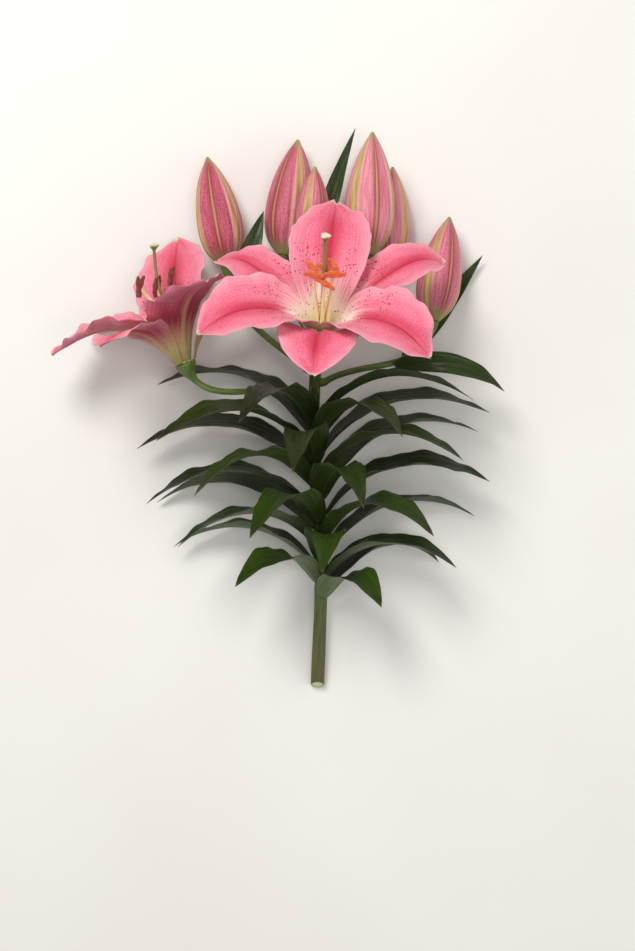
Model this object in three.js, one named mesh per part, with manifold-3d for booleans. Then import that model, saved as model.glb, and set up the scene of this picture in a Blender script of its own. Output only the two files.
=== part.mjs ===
// A cut lily: one flowering stem with its leaves, two open flowers and six buds, lying on a flat surface.
// Millimetres and degrees. +Y runs along the stem towards the flowers, +X to the right, +Z up off the surface.
// The origin is the centre of the bottom of the whole stem's box, on the surface that the stem lies on.
import * as THREE from "three";
import { mergeVertices } from "three/addons/utils/BufferGeometryUtils.js";
import Module from "manifold-3d";

// ---- driving dimensions ----
const GAP = 0.4; // clearance between neighbouring pieces

const STEM = { length: 292, footRadius: 5.6, topRadius: 4.4, headHeight: 62, sway: 3, cutSlope: -0.7 };
const LEAF = {
  count: 25,
  length: 146,
  width: 33,
  thickness: 1.4,
  cup: 0.3,
  fromFoot: 74, // bare stem below the lowest leaf
  fromTop: 74, // stem above the highest leaf, where the stalks leave it
  sector: 128, // leaves stay within this angle of straight up, clear of the surface
  turn: 137.5, // golden angle between one leaf and the next
  phase: 220,
};
const BRACT = { length: 66, width: 17 };
const TEPAL = { length: 108, innerWidth: 64, outerWidth: 45, thickness: 1.6, innerFoot: 5.6, outerFoot: 9.2 };
const STALK = { radius: 2.5, budRadius: 5, flowerRadius: 8.6 };
const STAMEN = { length: 66, radius: 0.9, footRadius: 3.6, ring: 1.5, anther: 19, antherRadius: 2.1 };
const PISTIL = { length: 98, ovaryRadius: 2.3, ovaryLength: 24, styleRadius: 1.3, stigmaRadius: 3.6 };
const BUD = { length: 90, radius: 18.5 };
// The heads are placed for tepals and buds of these sizes, and stand further apart for larger ones. Where
// tepals are wider for their length they wrap less, and the outer ones open further: `opening` is by how many
// degrees, for twice the width.
const HEAD = { tepalLength: 108, innerWidth: 64, outerWidth: 45, budRadius: 18.5, opening: 42 };

const X = new THREE.Vector3(1, 0, 0);
const Y = new THREE.Vector3(0, 1, 0);
const Z = new THREE.Vector3(0, 0, 1);
const rad = THREE.MathUtils.degToRad;
const lerp = THREE.MathUtils.lerp;
const vec = (x, y, z) => new THREE.Vector3(x, y, z);
const mix = (a, ka, b, kb) => a.clone().multiplyScalar(ka).addScaledVector(b, kb);

// ---- colours ----
const COLOURS = {
  stem: 0x4b6a2c,
  stalk: 0x5d7c33,
  leaf: 0x1f4715,
  bract: 0x2c5320,
  tepal: 0xe8668c,
  stamen: 0xd9682a,
  pistil: 0x8a9a4e,
  bud: 0xc9557a,
};
const material = (kind) =>
  new THREE.MeshStandardMaterial({ color: COLOURS[kind], roughness: 0.55, metalness: 0 });

const wasm = await Module();
wasm.setup();

const group = new THREE.Group();
function add(name, kind, geometry) {
  const mesh = new THREE.Mesh(geometry, material(kind));
  mesh.name = name;
  group.add(mesh);
}

// ---- shape helpers ----
const smooth = (points) => new THREE.CatmullRomCurve3(points, false, "catmullrom", 0.5);

// A value that runs smoothly through equally spaced knots, for u from 0 to 1.
function along(knots, u) {
  const points = knots.map((k, i) => vec(i, k, 0));
  return smooth(points).getPoint(u).y;
}

// A closed solid through rings of points that all turn the same way, with a point in the middle of each end.
function loft(rings) {
  const count = rings[0].length;
  const middle = (ring) => ring.reduce((sum, p) => sum.add(p), vec(0, 0, 0)).divideScalar(count);
  const points = [...rings.flat(), middle(rings[0]), middle(rings.at(-1))];
  const first = rings.length * count;
  const faces = [];
  for (let j = 0; j < count; j++) {
    const k = (j + 1) % count;
    for (let i = 0; i + 1 < rings.length; i++) {
      const [a, b, c, d] = [i * count + j, i * count + k, (i + 1) * count + k, (i + 1) * count + j];
      faces.push(a, b, c, a, c, d);
    }
    faces.push(first, k, j);
    faces.push(first + 1, first - count + j, first - count + k);
  }
  const geometry = new THREE.BufferGeometry().setFromPoints(points).setIndex(faces);
  if (volume(points, faces) < 0) geometry.setIndex(faces.reverse());
  return geometry;
}

function volume(points, faces) {
  let sum = 0;
  for (let i = 0; i < faces.length; i += 3) {
    const [a, b, c] = [0, 1, 2].map((k) => points[faces[i + k]]);
    sum += a.dot(b.clone().cross(c));
  }
  return sum;
}

// Rings of `sides` points round a curve, with the radius that radiusAt gives at each share u of its length.
// The first ring is cut at a slope.
function rod(curve, radiusAt, sides, steps, slope = 0) {
  const shares = Array.from({ length: steps + 1 }, (_, i) => i / steps);
  let side = X.clone();
  return loft(
    shares.map((u) => {
      const centre = curve.getPointAt(u);
      const tangent = curve.getTangentAt(u);
      side = side.addScaledVector(tangent, -side.dot(tangent)).normalize();
      const across = tangent.clone().cross(side);
      return Array.from({ length: sides }, (_, j) => {
        const turn = (2 * Math.PI * j) / sides;
        const spoke = mix(side, Math.cos(turn), across, Math.sin(turn)).multiplyScalar(radiusAt(u));
        const spot = centre.clone().add(spoke);
        return u === 0 ? spot.addScaledVector(tangent, slope * radiusAt(u) * Math.sin(turn)) : spot;
      });
    }),
  );
}

// The middle surface of a leaf or tepal as a grid of points, `across` + 1 wide. The blade leaves `base` in the plane
// of `out` and `axis`; bend gives its angle above `out` at equal steps, sweep turns it sideways and roll twists it. It
// runs along the surface that the stem lies on where it would pass below it.
function bladeGrid(spec, across, shares) {
  const { base, out, axis, length, width, bend, sweep = 0, roll = 0, cupAt, thickness, widthAt } = spec;
  const STEPS = 48; // steps of the walk along the blade
  const EASE = 22; // height over which a blade levels off above the surface
  const side = axis.clone().cross(out).normalize();
  const track = [];
  const point = base.clone();
  for (let i = 0; i <= STEPS; i++) {
    const u = i / STEPS;
    const angle = rad(along(bend, u));
    const turn = rad(sweep * u);
    const tangent = mix(out, Math.cos(angle) * Math.cos(turn), axis, Math.sin(angle));
    tangent.addScaledVector(side, Math.cos(angle) * Math.sin(turn)).normalize();
    const half = (width * widthAt(u)) / 2;
    const rolled = rad(roll * u);
    const facing = side.clone().addScaledVector(tangent, -side.dot(tangent)).normalize();
    const normal = tangent.clone().cross(facing);
    const edge = mix(facing, Math.cos(rolled), normal, Math.sin(rolled));
    const upper = mix(normal, Math.cos(rolled), facing, -Math.sin(rolled));
    const lowest = Math.abs(edge.z) * half + thickness;
    const steepest = -Math.max(point.z - lowest, 0) / EASE;
    if (tangent.z < steepest) tangent.setZ(steepest).normalize();
    track.push({ point: point.clone(), edge, upper, half });
    point.addScaledVector(tangent, length / STEPS);
  }
  return shares.map((u) => {
    const { point: centre, edge, upper, half } = track[Math.round(u * STEPS)];
    return Array.from({ length: across + 1 }, (_, j) => {
      const v = (2 * j) / across - 1;
      const spot = mix(edge, half * v, upper, cupAt(u) * half * v * v).add(centre);
      return spot.setZ(Math.max(spot.z, thickness / 2));
    });
  });
}

// A closed blade: the middle surface thickened along its own normals, down to nothing at its edges.
function blade(spec, across, shares) {
  const grid = bladeGrid(spec, across, shares);
  const last = grid.length - 1;
  return loft(
    grid.map((row, i) => {
      const offset = (j) => {
        const run = grid[Math.min(i + 1, last)][j].clone().sub(grid[Math.max(i - 1, 0)][j]);
        const cross = row[j + 1].clone().sub(row[j - 1]);
        return run.cross(cross).normalize().multiplyScalar(spec.thickness / 2);
      };
      const inside = row.slice(1, -1);
      const top = inside.map((p, k) => p.clone().add(offset(k + 1)));
      const bottom = inside.map((p, k) => p.clone().sub(offset(k + 1)));
      return [row[0], ...top, row[across], ...bottom.reverse()];
    }),
  );
}

const lanceolate = (peak, foot) => (u) => {
  const clasp = foot * (1 - u) ** 3;
  return clasp + (1 - clasp) * Math.sin(Math.PI * u ** (Math.log(0.5) / Math.log(peak))) ** 0.9;
};
const LEAF_SHARES = [0, 0.0625, 0.1875, 0.3125, 0.4375, 0.5625, 0.6875, 0.8125, 0.9375, 0.9792];
const TEPAL_SHARES = [0, 0.0833, 0.1667, 0.25, 0.3542, 0.4583, 0.5625, 0.6667, 0.7708, 0.875, 0.9583, 0.9792];

// ---- stem ----
const stemCurve = smooth([
  vec(0, 0, STEM.footRadius),
  vec(STEM.sway, STEM.length * 0.36, STEM.footRadius + STEM.headHeight * 0.27),
  vec(-STEM.sway, STEM.length * 0.7, STEM.footRadius + STEM.headHeight * 0.62),
  vec(0, STEM.length, STEM.footRadius + STEM.headHeight * 0.93),
]);
const stemRadius = (u) => lerp(STEM.footRadius, STEM.topRadius, u);
add("stem", "stem", rod(stemCurve, stemRadius, 12, 14, STEM.cutSlope));

// The stem's middle, direction and radius at a distance from its foot.
const stemRun = stemCurve.getLength();
function stemAt(distance) {
  const u = distance / stemRun;
  return { centre: stemCurve.getPointAt(u), axis: stemCurve.getTangentAt(u), radius: stemRadius(u) };
}

// The direction at an angle round the stem from straight up.
function outward(axis, angle) {
  const up = Z.clone().addScaledVector(axis, -Z.dot(axis)).normalize();
  const right = axis.clone().cross(up).normalize();
  return mix(up, Math.cos(rad(angle)), right, Math.sin(rad(angle)));
}

// ---- leaves ----
for (let i = 0; i < LEAF.count; i++) {
  const share = i / (LEAF.count - 1); // 0 at the lowest leaf, 1 at the highest
  const turned = THREE.MathUtils.euclideanModulo(i * LEAF.turn + LEAF.phase, 360) - 180;
  const angle = (turned * LEAF.sector) / 180;
  const { centre, axis, radius } = stemAt(lerp(LEAF.fromFoot, stemRun - LEAF.fromTop, share));
  const out = outward(axis, angle);
  const size = along([0.72, 0.95, 1.04, 1.06, 1.0], share);
  const droop = along([1.25, 1.1, 1, 0.9, 0.8], share);
  add(
    `leaf_${String(i + 1).padStart(2, "0")}`,
    "leaf",
    blade(
      {
        base: centre.clone().addScaledVector(out, radius + GAP + LEAF.thickness / 2),
        out,
        axis,
        length: LEAF.length * size,
        width: LEAF.width,
        thickness: LEAF.thickness,
        cupAt: () => LEAF.cup,
        bend: [52, 30 - 6 * droop, -8 * droop, -34 * droop],
        sweep: 12 * Math.sin(2.3 * i),
        roll: 16 * Math.cos(1.7 * i),
        widthAt: lanceolate(0.4, 0.3),
      },
      4,
      LEAF_SHARES,
    ),
  );
}

// ---- stalks, flowers and buds ----
// A flower or bud stands at `base`, whose y is counted from the stem's top, on a stalk that leaves the stem `below`
// its top, at `angle` round it. A flower's anthers stand `fan` from its axis, and lie across it as far as `across`
// says. Each of its tepals has its own bend and shares of the length and width.
const FLOWERS = [
  {
    name: "front",
    below: 52,
    angle: 0,
    base: vec(3, -14, 102),
    face: vec(0.03, 0.72, 0.69),
    fan: 9,
    across: 1,
    tepals: [
      { turn: 84, bend: [74, 46, 14, -8], size: 1.12 },
      { turn: 146.5, bend: [70, 34, 6, -62], size: 1.06, wide: 0.96 },
      { turn: 204, bend: [74, 38, 4, -52], size: 1.16 },
      { turn: 264, bend: [75, 49, 0, -66], size: 0.83, wide: 1.35 },
      { turn: 324, bend: [74, 38, 2, -56], size: 1.12 },
      { turn: 29, bend: [70, 34, 8, -58], size: 1.16, wide: 1.04 },
    ],
  },
  {
    name: "side",
    below: 61,
    angle: -90,
    base: vec(-106, -30, 66),
    face: vec(-0.33, 0.93, 0.12),
    fan: 15,
    across: 0.4,
    tepals: [
      { turn: 0, bend: [74, 40, 2, -24], size: 1.06 },
      { turn: 60, bend: [70, 34, 4, -16], size: 1.0 },
      { turn: 120, bend: [74, 46, 18, 2], size: 0.98 },
      { turn: 180, bend: [66, 36, 18, 6], size: 0.92, wide: 0.92 },
      { turn: 250, bend: [80, 62, 48, 30], size: 1.06 },
      { turn: 305, bend: [70, 34, 6, -10], size: 0.98 },
    ],
  },
];
const BUDS = [
  { name: "left", below: 36, angle: -110, base: vec(-74, 52, 24), tip: vec(-90, 140, 20), size: 1 },
  { name: "back", below: 16, angle: -160, base: vec(-28, 60, 21), tip: vec(-16, 154, 20), size: 1.06 },
  { name: "middle", below: 8, angle: -40, base: vec(-6, 58, 48), tip: vec(-2, 126, 60), size: 0.78 },
  { name: "upper_right", below: 20, angle: 60, base: vec(41, 58, 52), tip: vec(44, 154, 60), size: 1.08 },
  { name: "outer_right", below: 30, angle: 130, base: vec(58, 52, 18), tip: vec(62, 140, 16), size: 0.9 },
  { name: "far_right", below: 46, angle: 100, base: vec(94, 6, 30), tip: vec(106, 80, 24), size: 0.96 },
];
// A bract grows from a stalk, at a share of the way along it, on the side that `side` points to.
const BRACTS = [
  {
    on: "middle",
    share: 0.5,
    side: vec(0.5, 0, -1),
    out: vec(0.14, 0.99, 0),
    bend: [-38, -16, 0, 4],
    sweep: -14,
    size: 2.4,
  },
  {
    on: "left",
    share: 0.8,
    side: vec(0.3, 0, 1),
    out: vec(0.3, 0.95, 0.1),
    bend: [16, 8, -8, -16],
    sweep: 0,
    size: 1.1,
  },
  {
    on: "far_right",
    share: 0.6,
    side: vec(0.3, 0, -1),
    out: vec(0.6, 0.8, 0),
    bend: [-50, -22, 4, 10],
    sweep: 0,
    size: 1.8,
  },
  {
    on: "far_right",
    share: 0.5,
    side: vec(1, -0.8, 0.8),
    out: vec(1, 0.3, 0),
    bend: [30, 12, -10, -30],
    sweep: -60,
    size: 1.5,
  },
];

const wider = Math.max(TEPAL.innerWidth / HEAD.innerWidth, TEPAL.outerWidth / HEAD.outerWidth);
const longer = TEPAL.length / HEAD.tepalLength;
const spread = Math.max(longer, wider, BUD.radius / HEAD.budRadius);
const crowding = Math.max(wider / longer, 1);
const fromTop = (v) => v.clone().multiplyScalar(spread).add(vec(0, STEM.length, 0));
const stalks = {};
function stalk(name, { below, angle }, base, face, tipRadius) {
  const { centre, axis, radius } = stemAt(stemRun - below);
  const out = outward(axis, angle);
  const start = centre.clone().addScaledVector(out, radius + STALK.radius + GAP);
  const end = base.clone().addScaledVector(face, -GAP);
  const span = start.distanceTo(end);
  const curve = new THREE.CubicBezierCurve3(
    start,
    start.clone().addScaledVector(out, 0.3 * span).addScaledVector(axis, 0.2 * span),
    end.clone().addScaledVector(face, -0.45 * span),
    end,
  );
  const swell = (u) => lerp(STALK.radius, tipRadius, THREE.MathUtils.smoothstep(u, 0.8, 1) ** 2);
  stalks[name] = curve;
  add(`stalk_${name}`, "stalk", rod(curve, swell, 8, 10));
}

// The two directions across a flower: `level` is level on its left or right, `upright` is square to that.
function directionsAcross(axis) {
  const level = axis.z > 0.5 ? X.clone() : X.clone().negate();
  level.addScaledVector(axis, -level.dot(axis)).normalize();
  return { level, upright: axis.clone().cross(level).normalize() };
}

function solidOf(geometry) {
  const bare = new THREE.BufferGeometry().setAttribute("position", geometry.getAttribute("position"));
  const { index, attributes } = mergeVertices(bare.setIndex(geometry.index), 1e-3);
  const vertProperties = attributes.position.array;
  const triVerts = new Uint32Array(index.array);
  return new wasm.Manifold(new wasm.Mesh({ numProp: 3, vertProperties, triVerts }));
}

function geometryOf(solid) {
  const { vertProperties, triVerts } = solid.getMesh();
  const geometry = new THREE.BufferGeometry();
  geometry.setAttribute("position", new THREE.BufferAttribute(vertProperties, 3));
  return geometry.setIndex(new THREE.BufferAttribute(triVerts, 1));
}

// Six filaments, each with its anther at its tip, on the ring that they grow from.
function stamens({ name, fan, across }, base, axis, { level, upright }) {
  const profile = [
    [STAMEN.footRadius - STAMEN.ring / 2, 0],
    [STAMEN.footRadius + STAMEN.ring / 2, 0],
    [STAMEN.footRadius + STAMEN.ring / 2, 2],
    [STAMEN.footRadius - STAMEN.ring / 2, 2],
    [STAMEN.footRadius - STAMEN.ring / 2, 0],
  ].map(([x, y]) => new THREE.Vector2(x, y));
  const ring = new THREE.LatheGeometry(profile, 12);
  const turned = new THREE.Quaternion().setFromUnitVectors(Y, axis);
  ring.applyQuaternion(turned).translate(...base.toArray());
  let whole = solidOf(ring);
  for (let k = 0; k < 6; k++) {
    const turn = rad(60 * k + 30);
    const out = mix(level, Math.cos(turn), upright, Math.sin(turn));
    const around = axis.clone().cross(out);
    const reach = STAMEN.length * (1 + 0.04 * Math.cos(2.4 * k));
    const at = (r, h) => base.clone().addScaledVector(out, r).addScaledVector(axis, h);
    const foot = STAMEN.footRadius;
    const path = [at(foot, 1), at(foot + 1, reach * 0.35), at(foot + 4, reach * 0.7), at(fan, reach)];
    const filament = smooth(path);
    const flat = mix(around, Math.cos(0.9 * k), out, Math.sin(0.9 * k)).addScaledVector(axis, 0.3 * (-1) ** k);
    const lie = mix(flat, across, axis, 1 - across).normalize();
    const tip = path.at(-1);
    const half = STAMEN.anther / 2;
    const anther = new THREE.QuadraticBezierCurve3(
      tip.clone().addScaledVector(lie, -half),
      tip.clone().addScaledVector(axis, 2.5),
      tip.clone().addScaledVector(lie, half),
    );
    const plump = (u) => STAMEN.antherRadius * (0.35 + 0.65 * Math.sin(Math.PI * u) ** 0.5);
    whole = whole.add(solidOf(rod(filament, () => STAMEN.radius, 5, 5)));
    whole = whole.add(solidOf(rod(anther, plump, 6, 5)));
  }
  add(`stamens_${name}`, "stamen", geometryOf(whole));
}

// Ovary, style and three-lobed stigma, curving up a little towards the tip.
function pistil(name, base, axis, lift) {
  const at = (share, rise) => mix(axis, PISTIL.length * share, lift, rise).add(base);
  const curve = smooth([at(0.005, 0), at(0.35, 0), at(0.7, 2), at(1, 9)]);
  const ovary = PISTIL.ovaryLength / PISTIL.length;
  const radiusAt = (u) => {
    const waist = THREE.MathUtils.smoothstep(u, ovary * 0.8, ovary * 1.3);
    const head = THREE.MathUtils.smoothstep(u, 0.93, 0.98);
    return lerp(lerp(PISTIL.ovaryRadius, PISTIL.styleRadius, waist), PISTIL.stigmaRadius, head);
  };
  add(`pistil_${name}`, "pistil", rod(curve, radiusAt, 8, 16));
}

const tepalWidth = (u) => along([0.07, 0.22, 0.5, 0.8, 0.97, 1, 0.9, 0.62, 0.05], u);
// In the throat the inner tepals wrap round the flower's axis, inside the outer ones, and all flatten further out.
const innerCup = (u) => along([0.5, 0.62, 0.42, 0.24, 0.16, 0.12], u);
const outerCup = (u) => along([0.3, 0.3, 0.2, 0.1, 0.1, 0.1], u);

for (const flower of FLOWERS) {
  const { name, tepals } = flower;
  const base = fromTop(flower.base);
  const axis = flower.face.clone().normalize();
  const { level, upright } = directionsAcross(axis);
  stalk(name, flower, base, axis, STALK.flowerRadius);
  tepals.forEach(({ turn, bend, size, wide = 1 }, k) => {
    const inner = k % 2 === 0;
    const out = mix(level, Math.cos(rad(turn)), upright, Math.sin(rad(turn)));
    const foot = inner ? TEPAL.innerFoot : TEPAL.outerFoot;
    const spec = {
      base: base.clone().addScaledVector(out, foot).addScaledVector(axis, inner ? 1.2 : 0.4),
      out,
      axis,
      length: TEPAL.length * size,
      width: (inner ? TEPAL.innerWidth : TEPAL.outerWidth) * wide,
      thickness: TEPAL.thickness,
      cupAt: (u) => (inner ? innerCup(u) : outerCup(u)) / crowding ** 3,
      bend: inner ? bend : bend.map((angle) => angle - HEAD.opening * (crowding - 1)),
      widthAt: tepalWidth,
    };
    add(`tepal_${name}_${k + 1}`, "tepal", blade(spec, 6, TEPAL_SHARES));
  });
  stamens(flower, base, axis, { level, upright });
  pistil(name, base, axis, name === "front" ? upright : level.clone().negate());
}

const budProfile = (u) => Math.max(along([0.3, 0.76, 0.96, 1, 0.95, 0.84, 0.66, 0.4, 0.05], u), 0.05);
for (const head of BUDS) {
  const base = fromTop(head.base);
  const axis = head.tip.clone().sub(head.base).normalize();
  stalk(head.name, head, base, axis, STALK.budRadius);
  const end = base.clone().addScaledVector(axis, BUD.length * head.size);
  const radiusAt = (u) => BUD.radius * head.size * budProfile(u);
  add(`bud_${head.name}`, "bud", rod(new THREE.LineCurve3(base, end), radiusAt, 12, 10));
}

BRACTS.forEach(({ on, share, side, out, bend, sweep, size }, i) => {
  const direction = out.clone().normalize();
  const clear = side.clone().setLength(STALK.radius + GAP + 2 * LEAF.thickness);
  const spec = {
    base: stalks[on].getPoint(share).add(clear),
    out: direction,
    axis: Z.clone().addScaledVector(direction, -direction.z).normalize(),
    length: BRACT.length * size * spread,
    width: BRACT.width,
    thickness: LEAF.thickness,
    cupAt: () => LEAF.cup,
    bend,
    sweep,
    widthAt: lanceolate(0.4, 0.4),
  };
  add(`bract_${i + 1}`, "bract", blade(spec, 4, LEAF_SHARES));
});

// The origin goes to the middle of the bottom of the whole stem's box.
const box = new THREE.Box3().setFromObject(group, true);
group.position.set(-(box.min.x + box.max.x) / 2, -(box.min.y + box.max.y) / 2, -box.min.z);

export default group;
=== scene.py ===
"""A cut lily lying on a pale table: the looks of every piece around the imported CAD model.

Shapes are worked out in millimetres from the stem's foot, as in the CAD, and become metres in the
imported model's frame when their mesh is made.
"""

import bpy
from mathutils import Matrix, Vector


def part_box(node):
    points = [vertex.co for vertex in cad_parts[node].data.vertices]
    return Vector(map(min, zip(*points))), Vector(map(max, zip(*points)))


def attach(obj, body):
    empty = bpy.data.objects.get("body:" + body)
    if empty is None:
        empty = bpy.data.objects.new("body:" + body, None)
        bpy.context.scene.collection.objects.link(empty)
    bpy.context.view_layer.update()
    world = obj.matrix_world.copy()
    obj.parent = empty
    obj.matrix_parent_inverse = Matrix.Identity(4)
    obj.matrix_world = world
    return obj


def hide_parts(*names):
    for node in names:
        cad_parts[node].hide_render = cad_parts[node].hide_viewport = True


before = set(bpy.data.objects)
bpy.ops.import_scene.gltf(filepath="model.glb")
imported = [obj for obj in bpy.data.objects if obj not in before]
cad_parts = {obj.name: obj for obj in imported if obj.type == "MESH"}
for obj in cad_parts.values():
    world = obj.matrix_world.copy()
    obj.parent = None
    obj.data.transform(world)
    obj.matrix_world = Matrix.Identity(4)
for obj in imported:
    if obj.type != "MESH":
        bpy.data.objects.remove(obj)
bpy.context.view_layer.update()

import math

import bpy
import numpy as np

MM = 0.001
GAP = 0.4  # between pieces that grow from each other, in mm

# ---- sizes in mm and angles in degrees, as in the CAD ----
STEM = dict(length=292, foot=5.6, top=4.4, head=62, sway=3, slope=-0.7, sides=12, rings=14)
LEAF = dict(length=146, width=33, thick=1.4, cup=0.3, peak=0.4, foot=0.3)
SPIRAL = dict(count=25, from_foot=74, from_top=74, sector=128, turn=137.5, phase=220)
BRACT = dict(length=66, width=17, foot=0.4)
TEPAL = dict(length=108, inner=64, outer=45, inner_foot=5.6, outer_foot=9.2, thick=1.6)
STALK = dict(radius=2.5, bud=5, flower=8.6)
STAMEN = dict(length=66, foot=3.6, anther=19)
PISTIL = dict(length=98, ovary=24)
BUD = dict(length=90, radius=18.5)
LEVEL_OUT = 22  # a blade that comes down to the table levels out over this height
TRACK_STEPS = 48

# ---- how many faces lie round a rod, or across each side of a blade ----
ROUND = dict(stem=64, stalk=28, filament=14, anther=24, pistil=36, bud=120)
ACROSS = dict(leaf=20, tepal=44)


def vec(*numbers):
    return np.array(numbers, float)


X, Z = vec(1, 0, 0), vec(0, 0, 1)


def unit(v):
    return v / np.linalg.norm(v, axis=-1, keepdims=True)


def smoothstep(low, high, x):
    t = np.clip((x - low) / (high - low), 0, 1)
    return t * t * (3 - 2 * t)


def lerp(a, b, t):
    return a + (b - a) * t


# A head's stalk leaves the stem `below` mm under its top, at `angle` round the stem from straight up.
# A tepal stands at `turn` round its flower, and `bend` is its slope towards the flower's axis from
# its foot to its tip. A high tint gives its back a pale foot and its furrow more length. `fan` is how
# far from the axis the anthers stand, and `across` how far they lie across it, from 0 to 1.
FLOWERS = [
    dict(
        name="front",
        tint=0.5,
        below=52,
        angle=0,
        base=vec(3, -14, 102),
        face=vec(0.03, 0.72, 0.69),
        fan=9,
        across=1,
        tepals=[
            dict(turn=84, bend=[74, 46, 14, -8], size=1.12),
            dict(turn=146.5, bend=[70, 34, 6, -62], size=1.06, wide=0.96),
            dict(turn=204, bend=[74, 38, 4, -52], size=1.16),
            dict(turn=264, bend=[75, 49, 0, -66], size=0.83, wide=1.35, tint=1.0),
            dict(turn=324, bend=[74, 38, 2, -56], size=1.12),
            dict(turn=29, bend=[70, 34, 8, -58], size=1.16, wide=1.04),
        ],
    ),
    dict(
        name="side",
        # painted shade, in part: tint 0 darkens the backs of this flower's tepals
        tint=0.0,
        below=61,
        angle=-90,
        base=vec(-106, -30, 66),
        face=vec(-0.33, 0.93, 0.12),
        fan=15,
        across=0.4,
        tepals=[
            dict(turn=0, bend=[74, 40, 2, -24], size=1.06),
            dict(turn=60, bend=[70, 34, 4, -16], size=1.0),
            dict(turn=120, bend=[74, 46, 18, 2], size=0.98),
            dict(turn=180, bend=[66, 36, 18, 6], size=0.92, wide=0.92),
            dict(turn=250, bend=[80, 62, 48, 30], size=1.06),
            dict(turn=305, bend=[70, 34, 6, -10], size=0.98),
        ],
    ),
]
# `pale` is how light a bud's colour is, from deep rose at 0: partly its own colour and partly painted shade
# on the buds that lie in shadow. `roll` turns its ribs, in turns.
BUDS = [
    dict(
        name="left", size=1, pale=0.05, roll=0.27,
        below=36, angle=-110, base=vec(-74, 52, 24), tip=vec(-90, 140, 20),
    ),
    dict(
        name="back", size=1.06, pale=0.25, roll=0.35,
        below=16, angle=-160, base=vec(-28, 60, 21), tip=vec(-16, 154, 20),
    ),
    dict(
        name="middle", size=0.78, pale=0.4, roll=0.14,
        below=8, angle=-40, base=vec(-6, 58, 48), tip=vec(-2, 126, 60),
    ),
    dict(
        name="upper_right", size=1.08, pale=0.85, roll=0.21,
        below=20, angle=60, base=vec(41, 58, 52), tip=vec(44, 154, 60),
    ),
    dict(
        name="outer_right", size=0.9, pale=0.95, roll=0.27,
        below=30, angle=130, base=vec(58, 52, 18), tip=vec(62, 140, 16),
    ),
    dict(
        name="far_right", size=0.96, pale=0.45, roll=0.18,
        below=46, angle=100, base=vec(94, 6, 30), tip=vec(106, 80, 24),
    ),
]
# A bract grows at a share of its stalk's length, on its `side`, towards `out`.
BRACTS = [
    dict(
        on="middle",
        share=0.5, side=vec(0.5, 0, -1), out=vec(0.14, 0.99, 0),
        bend=[-38, -16, 0, 4], sweep=-14, size=2.4,
    ),
    dict(
        on="left",
        share=0.8, side=vec(0.3, 0, 1), out=vec(0.3, 0.95, 0.1),
        bend=[16, 8, -8, -16], sweep=0, size=1.1,
    ),
    dict(
        on="far_right",
        share=0.6, side=vec(0.3, 0, -1), out=vec(0.6, 0.8, 0),
        bend=[-50, -22, 4, 10], sweep=0, size=1.8,
    ),
    dict(
        on="far_right",
        share=0.5, side=vec(1, -0.8, 0.8), out=vec(1, 0.3, 0),
        bend=[30, 12, -10, -30], sweep=-60, size=1.5,
    ),
]
HEAD = vec(0, STEM["length"], 0)  # the places of flowers and buds are counted from here


# ---- curves ----
def along(knots, u):
    """A smooth run through equally spaced knots, numbers or points, for u from 0 to 1."""
    knots = np.asarray(knots, float)
    run = np.concatenate([[2 * knots[0] - knots[1]], knots, [2 * knots[-1] - knots[-2]]])
    place = np.clip(np.asarray(u, float), 0, 1) * (len(knots) - 1)
    i = np.minimum(place.astype(int), len(knots) - 2)
    t = place - i
    if knots.ndim > 1:
        t = t[..., None]
    a, b, c, d = run[i], run[i + 1], run[i + 2], run[i + 3]
    start, end = (c - a) / 2, (d - b) / 2
    return b + start * t + (3 * (c - b) - 2 * start - end) * t**2 + (2 * (b - c) + start + end) * t**3


class Curve:
    """A curve that is walked evenly, by share of its length."""

    def __init__(self, at):
        self.at = at
        self.shares = np.linspace(0, 1, 201)
        steps = np.linalg.norm(np.diff(at(self.shares), axis=0), axis=1)
        self.run = np.concatenate([[0], np.cumsum(steps)])
        self.length = self.run[-1]

    def even(self, u):
        return np.interp(np.asarray(u, float) * self.length, self.run, self.shares)

    def point(self, u):
        return self.at(self.even(u))

    def tangent(self, u):
        t = self.even(u)
        return unit(self.at(np.clip(t + 1e-4, 0, 1)) - self.at(np.clip(t - 1e-4, 0, 1)))


def through(*points):
    return Curve(lambda t: along(points, t))


def bezier(*p):
    def at(t):
        t = np.asarray(t, float)[..., None]
        return (1 - t) ** 3 * p[0] + 3 * (1 - t) ** 2 * t * p[1] + 3 * (1 - t) * t**2 * p[2] + t**3 * p[3]

    return Curve(at)


def rod_rings(curve, radius, sides, shares, slope=0.0):
    """Rings of points round a curve. radius takes a share of the length and a turn from 0 to 1.

    slope tips the first ring, and has faded out where the CAD stem has its second.
    """
    side = X
    rings = []
    turns = np.arange(sides) / sides
    for u in shares:
        tangent = curve.tangent(u)
        side = unit(side - tangent * (side @ tangent))
        across = np.cross(tangent, side)
        r = np.asarray(radius(u, turns)) * np.ones(sides)
        spokes = np.outer(np.cos(2 * np.pi * turns), side) + np.outer(np.sin(2 * np.pi * turns), across)
        ring = curve.point(u) + spokes * r[:, None]
        slant = slope * max(1 - u * STEM["rings"], 0)
        ring = ring + np.outer(slant * r * np.sin(2 * np.pi * turns), tangent)
        rings.append(ring)
    return np.array(rings)


# ---- stem ----
stem_curve = through(
    vec(0, 0, STEM["foot"]),
    vec(STEM["sway"], STEM["length"] * 0.36, STEM["foot"] + STEM["head"] * 0.27),
    vec(-STEM["sway"], STEM["length"] * 0.7, STEM["foot"] + STEM["head"] * 0.62),
    vec(0, STEM["length"], STEM["foot"] + STEM["head"] * 0.93),
)


def stem_radius(u):
    return lerp(STEM["foot"], STEM["top"], u)


def stem_at(distance):
    u = distance / stem_curve.length
    return stem_curve.point(u), stem_curve.tangent(u), stem_radius(u)


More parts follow.
